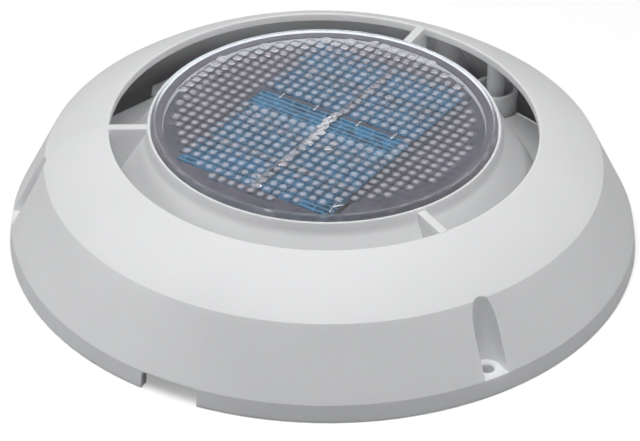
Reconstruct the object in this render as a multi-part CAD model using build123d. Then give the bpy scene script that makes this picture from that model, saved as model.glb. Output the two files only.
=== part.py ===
from build123d import *
import math
import os

os.makedirs("parts", exist_ok=True)

# Solar marine vent: a round cover with a ring-shaped air gap, a solar panel
# under a clear lens in the middle, and a small motor and fan below it.
# Millimetres, +Z up. The origin is the centre of the lip's foot, on the deck.
# Radii and heights are measured from that origin.

# Cover: lip, skirt and dome ring
BASE_R = 108.0
LIP_H = 6.4
LIP_TOP_R = 107.1
LIP_INNER_R = 104.3
CREASE_R = 95.4
CREASE_Z = 30.2
OPENING_R = 73.0
OPENING_Z = 43.7
DOME_RISE = 0.9
SKIRT_WALL = 3.0
DOME_WALL = 2.6
EDGE_ROUND = 0.5
MOUTH_H = 3.1
FOOT_ROUND = 0.4
SURFACE_SKIN = 0.2

# Spokes and screw pockets, at the same three directions
SPOKE_DIRECTIONS = (180.0, 60.0, -60.0)
SPOKE_W = 3.1
WEB_FOOT_Z = 22.0
WEB_BITE = 1.2
POCKET_HALF_W = 4.6
POCKET_BACK_R = 96.8
POCKET_LEAN = 5.2
POCKET_WALL = 2.5
POCKET_BOSS_R = 87.0
SCREW_CIRCLE_R = 101.0
SCREW_HOLE_R = 2.4
SINK = 0.7

# Drain slot in the lip
SLOT_DIRECTION = -119.6
SLOT_W = 20.7
SLOT_H = 6.1
SLOT_ROUND = 1.4

# Central housing: rim, lens seat, board shelf, floor and cone
RIM_R = 60.0
RIM_BORE_R = 59.2
RIM_Z = 44.8
RIM_ROUND = 0.3
FLARE_R = 60.9
FLARE_Z = 41.0
FLARE_ROUND = 6.0
LENS_SEAT_Z = 42.4
SEAT_BORE_R = 54.8
SHELF_Z = 39.6
SHELF_BORE_R = 52.4
FLOOR_TOP_Z = 37.4
FLOOR_WALL = 2.2
CONE_FOOT_Z = 20.0
CONE_SLOPE = 0.643
CONE_WALL = 2.4

# Lens and its gasket
LENS_R = 59.0
LENS_TOP_R = 57.9
LENS_T = 3.5
LENS_ROUND = 0.5
LENS_FOOT_ROUND = 0.3
GASKET_T = 0.5
GASKET_R = 57.7
GASKET_BORE_R = 54.9

# Solar panel
PANEL_TURN = 55.0
BOARD_R = 54.6
BOARD_T = 1.2
CELL_ROWS = 5
CELL_L = 29.3
CELL_W = 16.0
CELL_T = 0.3
ROW_PITCH = 18.0
COLUMN_PITCH = 31.3
RIBBON_T = 0.15
RIBBON_W = 1.6
STRAP_W = 1.2
STRAP_LAP = 1.5
STRAP_OFF = 7.0

# Motor, hanging under the housing floor
MOTOR_R = 12.2
MOTOR_TOP_Z = 34.9
MOTOR_L = 12.3
MOTOR_LOW_Z = MOTOR_TOP_Z - MOTOR_L
MOTOR_GAP = 0.15
CAN_WALL = 0.8
CAP_T = 1.8
NOSE_R = 3.1
NOSE_H = 1.2
SHAFT_R = 1.0
SHAFT_LOW_Z = 4.4
SHAFT_TOP_Z = 34.2
BEARING_GAP = 0.04
LOWER_BEARING_R = 2.0
LOWER_BEARING_L = 2.0
UPPER_BEARING_R = 2.4
COMMUTATOR_R = 2.4
COMMUTATOR_L = 1.2
ARMATURE_R = 8.6
ARMATURE_L = 6.0
ARMATURE_LOW_Z = MOTOR_LOW_Z + 2.0
CORE_R = 3.0
NECK_W = 1.8
SHOE_R = 7.2
SHOE_W = 9.6
COIL_L = 7.0
COIL_W = 4.6
COIL_LOW_R = 3.8
COIL_HIGH_R = 6.8
MAGNET_T = 2.0
MAGNET_L = 7.2
MAGNET_GAP = 7.0
CUP_R = 14.5
CUP_FOOT_Z = 27.0
TERMINAL_X = 7.0
TERMINAL_Y = 3.0
TERMINAL_W = 2.0
TERMINAL_T = 1.0
BRUSH_START_X = 1.7
BRUSH_T = 0.5
BRUSH_H = 1.1
WINDOW_L = 5.0
WINDOW_SPARE = 3.0
RETAINER_R = 22.0
RETAINER_T = 2.2
COOLING_CIRCLE_R = 9.0
COOLING_R = 3.0
RETAINER_BOSS_CIRCLE_R = 18.2
RETAINER_BOSS_R = 3.2
BOSS_TURN = 30.0
BOSS_PILOT_R = 0.9
BOSS_PILOT_DEPTH = 7.5
SMALL_SHANK_R = 0.85
SMALL_SHANK_L = 8.5
SMALL_HEAD_R = 1.9
SMALL_HEAD_H = 1.3

# Leads from the board to the motor
LEAD_R = 0.5
LEAD_Z = 38.3
LEAD_END_X = 22.0
LEAD_BEND_R = 1.1

# Fan
BLADES = 5
HUB_R = 13.5
HUB_LOW_Z = 5.5
HUB_TOP_Z = 17.5
HUB_WALL = 1.6
HUB_ROUND = 2.0
HUB_BOSS_TOP_Z = 15.5
FAN_R = 46.8
BLADE_T = 1.6
BLADE_MID_Z = 11.5
ROOT_CHORD = 13.5
ROOT_PITCH = 44.0
MID_CHORD = 16.0
MID_PITCH = 33.5
TIP_CHORD = 17.0
TIP_PITCH = 27.0
BLADE_SAG = 0.09
BOSS_R = 3.2
NUT_T = 0.5

# Base plate, baffle, screen and seal
BASE_TURN = 41.0
PLATE_R = 92.5
PLATE_Z = 2.0
PLATE_T = 2.4
DUCT_R = 48.5
COLLAR_R = 51.0
COLLAR_TOP_Z = 22.0
TOWER_TURNS = (0.0, 180.0, 270.0)
TOWER_CIRCLE_R = 83.5
TOWER_R = 8.0
TOWER_BORE_R = 6.3
TOWER_SEAT_Z = 6.4
TOWER_TOP_Z = 23.6
TOWER_STEM_R = 3.2
TAB_TURN = 90.0
TAB_GAP = 0.8
TAB_W = 4.9
TAB_MIDDLE = -5.9
TAB_INNER_L = 20.0
TAB_OUTER_L = 10.6
TAB_TOP_Z = 15.8
BAFFLE_APOTHEM = 85.5
BAFFLE_Z = 13.8
BAFFLE_T = 2.2
BAFFLE_CORNER = 3.0
BAFFLE_GAP = 0.4
NOTCH_GAP = 1.2
POST_CIRCLE_R = 62.0
POST_R = 3.6
MARK_CIRCLE_R = 82.5
MARK_TURN = -11.0
MARK_R = 2.4
MARK_DEPTH = 0.3
SCREEN_R = 49.9
SCREEN_Z = 3.0
SCREEN_T = 0.6
SCREEN_RECESS_R = 50.2
FIT_GAP = 0.1
NET_R = 46.0
NET_PITCH = 5.2
NET_HOLE = 4.2
RETAINER_BORE_R = 46.5
SEAL_R = 60.0
SEAL_BORE_R = 52.0

# Self-tapping screws
PILOT_R = 1.25
SCREW_SHANK_R = 1.2
SCREW_HEAD_R = 2.9
SCREW_HEAD_H = 1.6
RECESS_L = 3.0
RECESS_W = 0.7
RECESS_DEPTH = 0.45
SCREW_L = 9.0
LONG_SCREW_L = 12.0
SHANK_GAP = 0.2
PILOT_SPARE = 1.5

# Joined forms run into each other by JOIN, and cutters run past by PAST
JOIN = 0.5
PAST = 12.0


def polar(radius, degrees, height=0.0):
    """A point at a radius, direction and height."""
    a = math.radians(degrees)
    return Vector(radius * math.cos(a), radius * math.sin(a), height)


def turned(shape, degrees):
    """A shape turned about the vent's own axis."""
    return Rot(0, 0, degrees) * shape


def ring(outer_r, inner_r, low_z, height):
    """A plain ring or, with no inner radius, a plain disc."""
    solid = Cylinder(outer_r, height, align=(Align.CENTER, Align.CENTER, Align.MIN))
    if inner_r > 0:
        solid -= Cylinder(inner_r, height, align=(Align.CENTER, Align.CENTER, Align.MIN))
    return Pos(0, 0, low_z) * solid


def post(centre, radius, low_z, height):
    """A round post standing on a level."""
    solid = Cylinder(radius, height, align=(Align.CENTER, Align.CENTER, Align.MIN))
    return Pos(centre.X, centre.Y, low_z) * solid


def spun(outline, rounds=()):
    """A closed outline of (radius, height) points and arcs, spun about the axis.

    rounds lists (radius, height, rounding) for the corners that are rounded.
    """
    face = make_face(Plane.XZ * outline)
    for r, z, rounding in rounds:
        corner = face.vertices().sort_by_distance(Vector(r, 0, z))[0]
        face = fillet(corner, rounding)
    return revolve(face, Axis.Z)


def skirt_r(z):
    """Outer radius of the skirt at a height."""
    share = (z - LIP_H) / (CREASE_Z - LIP_H)
    return LIP_TOP_R + share * (CREASE_R - LIP_TOP_R)


def cone_r(z):
    """Outer radius of the housing's cone at a height."""
    return FLARE_R + CONE_SLOPE * (FLARE_Z - z)


def dome_line(drop):
    """The dome's line from crease to opening, moved in by a wall thickness.

    The line is an arc that rises DOME_RISE above its chord.
    """
    chord = Vector(OPENING_R - CREASE_R, OPENING_Z - CREASE_Z)
    across = Vector(-chord.Y, chord.X).normalized() * -1
    start = Vector(CREASE_R, CREASE_Z) - across * drop
    end = Vector(OPENING_R, OPENING_Z) - across * drop
    middle = (start + end) * 0.5 + across * DOME_RISE
    return start, middle, end


def cover_ring():
    """Lip, skirt and dome ring as one shell."""
    start, middle, end = dome_line(0)
    _, low_middle, _ = dome_line(DOME_WALL)
    wall = SKIRT_WALL * math.hypot(1, (LIP_TOP_R - CREASE_R) / (CREASE_Z - LIP_H))
    inner_crease_z = CREASE_Z - DOME_WALL
    inner_crease = (skirt_r(inner_crease_z) - wall, inner_crease_z)
    mouth_low = (OPENING_R, OPENING_Z - MOUTH_H)
    outline = [
        Line((LIP_INNER_R, 0), (BASE_R, 0)),
        Line((BASE_R, 0), (LIP_TOP_R, LIP_H)),
        Line((LIP_TOP_R, LIP_H), (CREASE_R, CREASE_Z)),
        ThreePointArc(start, middle, end),
        Line(end, mouth_low),
        ThreePointArc(mouth_low, low_middle, inner_crease),
        Line(inner_crease, (skirt_r(LIP_H) - wall, LIP_H)),
        Line((skirt_r(LIP_H) - wall, LIP_H), (LIP_INNER_R, 0)),
    ]
    rounds = [
        (LIP_TOP_R, LIP_H, EDGE_ROUND),
        (CREASE_R, CREASE_Z, EDGE_ROUND),
        (OPENING_R, OPENING_Z, EDGE_ROUND),
        (BASE_R, 0, FOOT_ROUND),
    ]
    return spun(Curve() + outline, rounds)


def envelope():
    """Everything under the cover's outer surface, to trim what joins it."""
    start, middle, end = dome_line(SURFACE_SKIN)
    foot = (BASE_R - SURFACE_SKIN, 0)
    shoulder = (LIP_TOP_R - SURFACE_SKIN, LIP_H)
    outline = [
        Line((0, 0), foot),
        Line(foot, shoulder),
        Line(shoulder, start),
        ThreePointArc(start, middle, end),
        Line(end, (0, end.Y)),
        Line((0, end.Y), (0, 0)),
    ]
    return spun(Curve() + outline)


def housing():
    """Rim, lens seat, board shelf, floor and cone, with a steeper flare to the rim."""
    floor_z = FLOOR_TOP_Z - FLOOR_WALL
    inner = CONE_WALL * math.hypot(1, CONE_SLOPE)
    points = [
        (0, FLOOR_TOP_Z),
        (SHELF_BORE_R, FLOOR_TOP_Z),
        (SHELF_BORE_R, SHELF_Z),
        (SEAT_BORE_R, SHELF_Z),
        (SEAT_BORE_R, LENS_SEAT_Z),
        (RIM_BORE_R, LENS_SEAT_Z),
        (RIM_BORE_R, RIM_Z),
        (RIM_R, RIM_Z),
        (FLARE_R, FLARE_Z),
        (cone_r(CONE_FOOT_Z), CONE_FOOT_Z),
        (cone_r(CONE_FOOT_Z) - inner, CONE_FOOT_Z),
        (cone_r(floor_z) - inner, floor_z),
        (0, floor_z),
    ]
    rounds = [
        (RIM_R, RIM_Z, RIM_ROUND),
        (RIM_BORE_R, RIM_Z, RIM_ROUND / 2),
        (FLARE_R, FLARE_Z, FLARE_ROUND),
        (cone_r(CONE_FOOT_Z), CONE_FOOT_Z, EDGE_ROUND),
    ]
    return spun(Polyline(points, close=True), rounds)


def web():
    """One flat spoke and its web, along +X, clear of the lens's pocket."""
    points = [
        (RIM_R - WEB_BITE, OPENING_Z),
        (OPENING_R + WEB_BITE / 2, OPENING_Z),
        (OPENING_R + WEB_BITE, OPENING_Z - WEB_BITE),
        (OPENING_R + WEB_BITE, WEB_FOOT_Z),
        (cone_r(WEB_FOOT_Z) - WEB_BITE, WEB_FOOT_Z),
    ]
    face = make_face(Plane.XZ * Polyline(points, close=True))
    solid = extrude(face, amount=SPOKE_W / 2, both=True)
    return solid - ring(RIM_BORE_R + SURFACE_SKIN, 0, LENS_SEAT_Z - SURFACE_SKIN, PAST)


def pocket_form(grow, low_z, high_z):
    """A leaning U-shaped form along +X: the pocket, or the boss round it."""
    half_w = POCKET_HALF_W + grow
    lean = math.tan(math.radians(POCKET_LEAN))
    back = POCKET_BACK_R - grow - lean * (low_z - LIP_H)
    far = BASE_R + PAST
    face = Pos(back + half_w, 0, 0) * Circle(half_w)
    face += Pos((back + half_w + far) / 2, 0, 0) * Rectangle(far - back - half_w, 2 * half_w)
    way = Vector(-lean, 0, 1)
    return extrude(Pos(0, 0, low_z) * face, amount=(high_z - low_z) * way.length, dir=way.normalized())


def drain_slot():
    """Cutter for the drain slot, along +X."""
    upper = RectangleRounded(SLOT_W, SLOT_H, SLOT_ROUND)
    lower = Rectangle(SLOT_W, SLOT_H)
    face = Plane.YZ * (Pos(0, SLOT_H / 2) * upper + Pos(0, 0) * lower)
    return Pos(BASE_R - PAST, 0, 0) * extrude(face, amount=2 * PAST)


def retainer_bosses():
    """Centres of the three bosses that take the retainer's screws."""
    return [polar(RETAINER_BOSS_CIRCLE_R, BOSS_TURN + 120 * k) for k in range(3)]


def motor_mount():
    """The motor's cup and the bosses for its retainer, under the floor."""
    floor_z = FLOOR_TOP_Z - FLOOR_WALL
    solid = ring(CUP_R, 0, CUP_FOOT_Z, floor_z - CUP_FOOT_Z + JOIN)
    for centre in retainer_bosses():
        solid += post(centre, RETAINER_BOSS_R, MOTOR_LOW_Z, floor_z - MOTOR_LOW_Z + JOIN)
    solid -= ring(MOTOR_R + MOTOR_GAP, 0, MOTOR_LOW_Z, floor_z - MOTOR_LOW_Z)
    for centre in retainer_bosses():
        solid -= post(centre, BOSS_PILOT_R, MOTOR_LOW_Z, BOSS_PILOT_DEPTH)
    return solid


def vent_cover():
    """The whole white moulding."""
    inside = envelope()
    solid = cover_ring() + housing() + motor_mount()
    stem_z = TOWER_SEAT_Z + FIT_GAP
    sink = Cone(SCREW_HOLE_R, SCREW_HOLE_R + SINK, SINK, align=(Align.CENTER, Align.CENTER, Align.MAX))
    for direction in SPOKE_DIRECTIONS:
        solid += turned(web(), direction)
        boss = pocket_form(POCKET_WALL, 0, CREASE_Z + PAST) & inside
        solid += turned(boss & ring(BASE_R, POCKET_BOSS_R, 0, OPENING_Z), direction)
    for centre in towers():
        solid += post(centre, TOWER_STEM_R, stem_z, OPENING_Z - stem_z) & inside
        solid -= post(centre, PILOT_R, stem_z, PLATE_Z + LONG_SCREW_L + PILOT_SPARE - stem_z)
    for direction in SPOKE_DIRECTIONS:
        solid -= turned(pocket_form(0, LIP_H, CREASE_Z + PAST), direction)
        solid -= post(polar(SCREW_CIRCLE_R, direction), SCREW_HOLE_R, -JOIN, LIP_H + 2 * JOIN)
        solid -= Pos(*polar(SCREW_CIRCLE_R, direction, LIP_H)) * sink
    solid -= turned(drain_slot(), SLOT_DIRECTION)
    window = Box(WINDOW_L, 2 * TERMINAL_Y + WINDOW_SPARE, 3 * FLOOR_WALL)
    return solid - Pos(TERMINAL_X, 0, FLOOR_TOP_Z - FLOOR_WALL / 2) * window


def solar_lens():
    """The clear disc: its wall stands in the rim, then leans in to the top."""
    low = LENS_SEAT_Z + GASKET_T
    top = low + LENS_T
    points = [(0, low), (LENS_R, low), (LENS_R, RIM_Z), (LENS_TOP_R, top), (0, top)]
    rounds = [
        (LENS_R, low, LENS_FOOT_ROUND),
        (LENS_R, RIM_Z, LENS_ROUND),
        (LENS_TOP_R, top, LENS_ROUND),
    ]
    return spun(Polyline(points, close=True), rounds)


def panel_place(across, along, z):
    """A place on the panel, turned with it."""
    return Rot(0, 0, PANEL_TURN) * Pos(along, across, z)


def cell_places():
    """Centres of the cells: five rows along the panel, two across."""
    for row in range(CELL_ROWS):
        along = (row - (CELL_ROWS - 1) / 2) * ROW_PITCH
        for side in (-0.5, 0.5):
            yield side * COLUMN_PITCH, along


def solar_cells():
    """Ten thin cells on the board, each a separate plate."""
    plate = Box(CELL_W, CELL_L, CELL_T, align=(Align.CENTER, Align.CENTER, Align.MIN))
    top = SHELF_Z + BOARD_T
    return Compound(children=[panel_place(a, b, top) * plate for a, b in cell_places()])


def cell_ribbons():
    """The middle ribbon, and the straps that join each cell to the next row."""
    top = SHELF_Z + BOARD_T
    length = ROW_PITCH * (CELL_ROWS - 1) + CELL_W
    middle = Box(length, RIBBON_W, RIBBON_T, align=(Align.CENTER, Align.CENTER, Align.MIN))
    pieces = [panel_place(0, 0, top) * middle]
    strap_l = ROW_PITCH - CELL_W + 2 * STRAP_LAP
    strap = Box(strap_l, STRAP_W, RIBBON_T, align=(Align.CENTER, Align.CENTER, Align.MIN))
    for row in range(CELL_ROWS - 1):
        along = (row + 1 - (CELL_ROWS - 1) / 2) * ROW_PITCH - ROW_PITCH / 2
        for side in (-0.5, 0.5):
            for off in (-STRAP_OFF, STRAP_OFF):
                place = panel_place(side * COLUMN_PITCH + off, along, top + CELL_T)
                pieces.append(place * strap)
    return Compound(children=pieces)


def lead(side):
    """One insulated lead: up from the motor, along under the board, up to it."""
    y = side * TERMINAL_Y
    points = [
        (TERMINAL_X, y, MOTOR_TOP_Z + 1.0),
        (TERMINAL_X, y, LEAD_Z),
        (LEAD_END_X, y, LEAD_Z),
        (LEAD_END_X, y, SHELF_Z),
    ]
    path = FilletPolyline(points, radius=LEAD_BEND_R)
    start = Plane(path @ 0, z_dir=path % 0)
    tube = sweep(start * Circle(LEAD_R), path=path)
    print("lead volume over section times length", tube.volume / (math.pi * LEAD_R**2 * path.length))
    return tube


def motor_can():
    """Steel cup, closed at the shaft end, with a nose for the bearing."""
    low = MOTOR_LOW_Z
    bore = MOTOR_R - CAN_WALL
    seat = LOWER_BEARING_R
    points = [
        (seat, low - NOSE_H),
        (NOSE_R, low - NOSE_H),
        (NOSE_R, low),
        (MOTOR_R, low),
        (MOTOR_R, MOTOR_TOP_Z - CAP_T),
        (bore, MOTOR_TOP_Z - CAP_T),
        (bore, low + CAN_WALL),
        (seat, low + CAN_WALL),
    ]
    rounds = [(MOTOR_R, low, EDGE_ROUND), (NOSE_R, low - NOSE_H, EDGE_ROUND / 2)]
    return spun(Polyline(points, close=True), rounds)


def motor_end_cap():
    """Plastic cap at the top of the can, with slots for the terminals."""
    solid = ring(MOTOR_R, 0, MOTOR_TOP_Z - CAP_T, CAP_T)
    solid -= ring(UPPER_BEARING_R, 0, MOTOR_TOP_Z - CAP_T, CAP_T - JOIN)
    for side in (-1, 1):
        slot = Box(TERMINAL_W, TERMINAL_T, CAP_T)
        solid -= Pos(TERMINAL_X, side * TERMINAL_Y, MOTOR_TOP_Z - CAP_T / 2) * slot
    return solid


def motor_terminals():
    """Two brass tabs through the end cap."""
    tab = Box(TERMINAL_W, TERMINAL_T, CAP_T + TERMINAL_T, align=(Align.CENTER, Align.CENTER, Align.MIN))
    low = MOTOR_TOP_Z - CAP_T
    return Compound(children=[Pos(TERMINAL_X, s * TERMINAL_Y, low) * tab for s in (-1, 1)])


def motor_brushes():
    """Two spring arms from the terminals to the commutator."""
    reach = TERMINAL_X + TERMINAL_W / 2
    arm = Box(reach - BRUSH_START_X, BRUSH_T, BRUSH_H, align=(Align.MIN, Align.CENTER, Align.MAX))
    y = COMMUTATOR_R + BRUSH_T / 2 + FIT_GAP
    top = MOTOR_TOP_Z - CAP_T
    return Compound(children=[Pos(BRUSH_START_X, side * y, top) * arm for side in (-1, 1)])


def motor_magnets():
    """Two curved magnets against the can's wall."""
    low = MOTOR_LOW_Z + 2 * CAN_WALL
    bore = MOTOR_R - CAN_WALL
    shell = ring(bore, bore - MAGNET_T, low, MAGNET_L)
    gap = Box(MAGNET_GAP, 2 * bore, MAGNET_L, align=(Align.CENTER, Align.CENTER, Align.MIN))
    return Compound(children=list((shell - Pos(0, 0, low) * gap).solids()))


def bearing(outer_r, low_z, height):
    """Sintered bronze bush with running clearance on the shaft."""
    return ring(outer_r, SHAFT_R + BEARING_GAP, low_z, height)


def commutator():
    """Copper ring just under the end cap, where the brushes rub."""
    top = MOTOR_TOP_Z - CAP_T - FIT_GAP
    return ring(COMMUTATOR_R, SHAFT_R, top - COMMUTATOR_L, COMMUTATOR_L)


def armature_core():
    """Three-pole laminated core, pressed on the shaft."""
    low = ARMATURE_LOW_Z
    solid = ring(CORE_R, 0, low, ARMATURE_L)
    reach = Box(SHOE_R, NECK_W, ARMATURE_L, align=(Align.MIN, Align.CENTER, Align.MIN))
    wedge = Box(ARMATURE_R, SHOE_W, ARMATURE_L, align=(Align.MIN, Align.CENTER, Align.MIN))
    shoe = ring(ARMATURE_R, SHOE_R, low, ARMATURE_L) & Pos(0, 0, low) * wedge
    for k in range(3):
        solid += turned(Pos(0, 0, low) * reach + shoe, 120 * k)
    return solid - ring(SHAFT_R, 0, low, ARMATURE_L)


def armature_coils():
    """Three coils round the necks of the core."""
    middle = ARMATURE_LOW_Z + ARMATURE_L / 2
    long = COIL_HIGH_R - COIL_LOW_R
    coil = Box(long, COIL_W, COIL_L) - Box(long, NECK_W, ARMATURE_L)
    place = Pos((COIL_LOW_R + COIL_HIGH_R) / 2, 0, middle)
    return Compound(children=[turned(place * coil, 120 * k) for k in range(3)])


def screws(centres, low_z, length, upward):
    """Pan-head self-tapping screws as one group: head, then a plain shank."""
    shank = Cylinder(SCREW_SHANK_R, length, align=(Align.CENTER, Align.CENTER, Align.MIN))
    head = Cylinder(SCREW_HEAD_R, SCREW_HEAD_H, align=(Align.CENTER, Align.CENTER, Align.MAX))
    head = fillet(head.edges().group_by(Axis.Z)[0], EDGE_ROUND)
    for k in range(2):
        head -= Pos(0, 0, -SCREW_HEAD_H) * Rot(0, 0, 90 * k) * Box(RECESS_L, RECESS_W, 2 * RECESS_DEPTH)
    screw = head + shank
    if not upward:
        screw = Rot(180, 0, 0) * screw
    return Compound(children=[Pos(c.X, c.Y, low_z) * screw for c in centres])


def motor_retainer():
    """Plate that holds the motor up against the floor."""
    low = MOTOR_LOW_Z - RETAINER_T
    solid = ring(RETAINER_R, 0, low, RETAINER_T)
    solid = fillet(solid.edges().group_by(Axis.Z)[0], EDGE_ROUND)
    solid -= ring(NOSE_R + 2 * MOTOR_GAP, 0, low, RETAINER_T)
    for centre in retainer_bosses():
        solid -= post(centre, PILOT_R, low, RETAINER_T)
    for k in range(3):
        vent = polar(COOLING_CIRCLE_R, BOSS_TURN + 60 + 120 * k)
        solid -= post(vent, COOLING_R, low, RETAINER_T)
    return solid


def retainer_screws():
    """Three screws up through the retainer into the floor's bosses."""
    shank = Cylinder(SMALL_SHANK_R, SMALL_SHANK_L, align=(Align.CENTER, Align.CENTER, Align.MIN))
    head = Cylinder(SMALL_HEAD_R, SMALL_HEAD_H, align=(Align.CENTER, Align.CENTER, Align.MAX))
    screw = Pos(0, 0, MOTOR_LOW_Z - RETAINER_T) * (head + shank)
    screw = fillet(screw.edges().group_by(Axis.Z)[0], EDGE_ROUND / 2)
    return Compound(children=[Pos(c.X, c.Y, 0) * screw for c in retainer_bosses()])


def blade_section(radius, chord, pitch):
    """A blade's section at a radius: a thin curved plate set at its pitch."""
    sag = BLADE_SAG * chord
    upper = ThreePointArc((-chord / 2, 0), (0, sag + BLADE_T), (chord / 2, 0))
    lower = ThreePointArc((chord / 2, 0), (0, sag), (-chord / 2, 0))
    face = make_face(Curve() + [upper, lower])
    plane = Plane(origin=(radius, 0, BLADE_MID_Z), x_dir=(0, 1, 0), z_dir=(1, 0, 0))
    return plane * (Rot(0, 0, pitch) * face)


def fan_impeller():
    """Hub cup with curved, twisted blades."""
    hub = ring(HUB_R, 0, HUB_LOW_Z, HUB_TOP_Z - HUB_LOW_Z)
    hub = fillet(hub.edges().group_by(Axis.Z)[0], HUB_ROUND)
    hub -= ring(HUB_R - HUB_WALL, 0, HUB_LOW_Z + HUB_WALL, HUB_TOP_Z - HUB_LOW_Z)
    hub += ring(BOSS_R, 0, HUB_LOW_Z + JOIN, HUB_BOSS_TOP_Z - HUB_LOW_Z - JOIN)
    root = blade_section(HUB_R - HUB_WALL / 2, ROOT_CHORD, ROOT_PITCH)
    middle = blade_section((HUB_R + FAN_R) / 2, MID_CHORD, MID_PITCH)
    tip = blade_section(FAN_R + 2 * HUB_WALL, TIP_CHORD, TIP_PITCH)
    blade = loft([root, middle, tip]) & ring(FAN_R, HUB_R - HUB_WALL / 2, 0, COLLAR_TOP_Z)
    solid = hub
    for k in range(BLADES):
        solid += turned(blade, 360 / BLADES * k)
    return solid - ring(SHAFT_R, 0, 0, COLLAR_TOP_Z)


def towers():
    """Centres of the base plate's three towers."""
    return [polar(TOWER_CIRCLE_R, BASE_TURN + turn) for turn in TOWER_TURNS]


def posts():
    """Centres of the posts that carry the baffle."""
    return [polar(POST_CIRCLE_R, BASE_TURN + 22.5 + 90 * k) for k in range(4)]


def locating_tab():
    """Block beside the baffle, in the place of a fourth tower: its ends slant in."""
    inner = BAFFLE_APOTHEM + TAB_GAP
    points = [
        (inner, TAB_MIDDLE + TAB_INNER_L / 2),
        (inner + TAB_W, TAB_MIDDLE + TAB_OUTER_L / 2),
        (inner + TAB_W, TAB_MIDDLE - TAB_OUTER_L / 2),
        (inner, TAB_MIDDLE - TAB_INNER_L / 2),
    ]
    face = make_face(Polyline(points, close=True))
    face = fillet(face.vertices(), EDGE_ROUND)
    solid = Pos(0, 0, PLATE_Z) * extrude(face, amount=TAB_TOP_Z - PLATE_Z, dir=(0, 0, 1))
    solid = fillet(solid.edges().group_by(Axis.Z)[-1], EDGE_ROUND / 2)
    return turned(solid, BASE_TURN + TAB_TURN)


def base_plate():
    """Flange, duct collar, baffle posts, screw towers and locating tab."""
    solid = ring(PLATE_R, 0, PLATE_Z, PLATE_T) + ring(COLLAR_R, 0, PLATE_Z, COLLAR_TOP_Z - PLATE_Z)
    for centre in posts():
        solid += post(centre, POST_R, PLATE_Z, BAFFLE_Z - PLATE_Z)
    for centre in towers():
        solid += post(centre, TOWER_R, PLATE_Z, TOWER_TOP_Z - PLATE_Z)
        solid -= post(centre, TOWER_BORE_R, TOWER_SEAT_Z, TOWER_TOP_Z)
        solid -= post(centre, SCREW_SHANK_R + SHANK_GAP, PLATE_Z, TOWER_SEAT_Z)
    for centre in posts():
        solid -= post(centre, PILOT_R, BAFFLE_Z - SCREW_L, SCREW_L)
    solid += locating_tab()
    solid -= ring(DUCT_R, 0, 0, COLLAR_TOP_Z)
    solid -= ring(SCREEN_RECESS_R, 0, 0, SCREEN_Z + SCREEN_T)
    for level in (COLLAR_TOP_Z, TOWER_TOP_Z):
        edges = solid.edges().filter_by(GeomType.CIRCLE).filter_by_position(Axis.Z, level, level)
        solid = fillet(edges, EDGE_ROUND)
    return solid


def rain_baffle():
    """Eight-sided shelf round the collar, notched for the towers."""
    outline = RegularPolygon(BAFFLE_APOTHEM, 8, major_radius=False)
    solid = extrude(Rot(0, 0, BASE_TURN + 22.5) * outline, amount=BAFFLE_T)
    solid = Pos(0, 0, BAFFLE_Z) * solid
    solid = fillet(solid.edges().filter_by(Axis.Z), BAFFLE_CORNER)
    solid = fillet(solid.edges().group_by(Axis.Z)[-1], EDGE_ROUND)
    solid -= ring(COLLAR_R + BAFFLE_GAP, 0, BAFFLE_Z, BAFFLE_T)
    for centre in towers():
        solid -= post(centre, TOWER_R + NOTCH_GAP, BAFFLE_Z, BAFFLE_T)
    for k in range(4):
        mark = post(polar(MARK_CIRCLE_R, BASE_TURN + MARK_TURN + 90 * k), MARK_R, 0, MARK_DEPTH)
        solid -= Pos(0, 0, BAFFLE_Z + BAFFLE_T - MARK_DEPTH) * mark
    for centre in posts():
        solid -= post(centre, SCREW_SHANK_R + SHANK_GAP, BAFFLE_Z, BAFFLE_T)
    return solid


def insect_screen():
    """Flat net across the duct: one sheet with square holes."""
    reach = int(NET_R // NET_PITCH) + 1
    places = []
    for i in range(-reach, reach + 1):
        for j in range(-reach, reach + 1):
            x = i * NET_PITCH
            y = j * NET_PITCH
            if math.hypot(abs(x) + NET_HOLE / 2, abs(y) + NET_HOLE / 2) < NET_R:
                places.append((x, y))
    print("screen gaps", len(places))
    sheet = Circle(SCREEN_R) - [Pos(x, y) * Rectangle(NET_HOLE, NET_HOLE) for x, y in places]
    return extrude(Pos(0, 0, SCREEN_Z) * sheet, amount=SCREEN_T)


def save(name, shape):
    """Writes one node's STEP file."""
    export_step(shape, f"parts/{name}.step")


save("vent_cover", vent_cover())
save("solar_lens", solar_lens())
save("lens_gasket", ring(GASKET_R, GASKET_BORE_R, LENS_SEAT_Z, GASKET_T))
save("solar_board", ring(BOARD_R, 0, SHELF_Z, BOARD_T))
save("solar_cells", solar_cells())
save("cell_ribbons", cell_ribbons())
save("red_lead", lead(1))
save("black_lead", lead(-1))
save("motor_can", motor_can())
save("motor_end_cap", motor_end_cap())
save("motor_terminals", motor_terminals())
save("motor_brushes", motor_brushes())
save("motor_magnets", motor_magnets())
save("lower_bearing", bearing(LOWER_BEARING_R, MOTOR_LOW_Z - NOSE_H, LOWER_BEARING_L))
save("upper_bearing", bearing(UPPER_BEARING_R, MOTOR_TOP_Z - CAP_T, CAP_T - JOIN))
save("motor_retainer", motor_retainer())
save("retainer_screws", retainer_screws())
save("motor_shaft", ring(SHAFT_R, 0, SHAFT_LOW_Z, SHAFT_TOP_Z - SHAFT_LOW_Z))
save("armature_core", armature_core())
save("armature_coils", armature_coils())
save("commutator", commutator())
save("fan_impeller", fan_impeller())
save("push_nut", ring(BOSS_R, SHAFT_R, HUB_LOW_Z - NUT_T, NUT_T))
save("base_plate", base_plate())
save("rain_baffle", rain_baffle())
save("baffle_screws", screws(posts(), BAFFLE_Z + BAFFLE_T, SCREW_L, upward=False))
save("base_screws", screws(towers(), PLATE_Z, LONG_SCREW_L, upward=True))
save("insect_screen", insect_screen())
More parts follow.
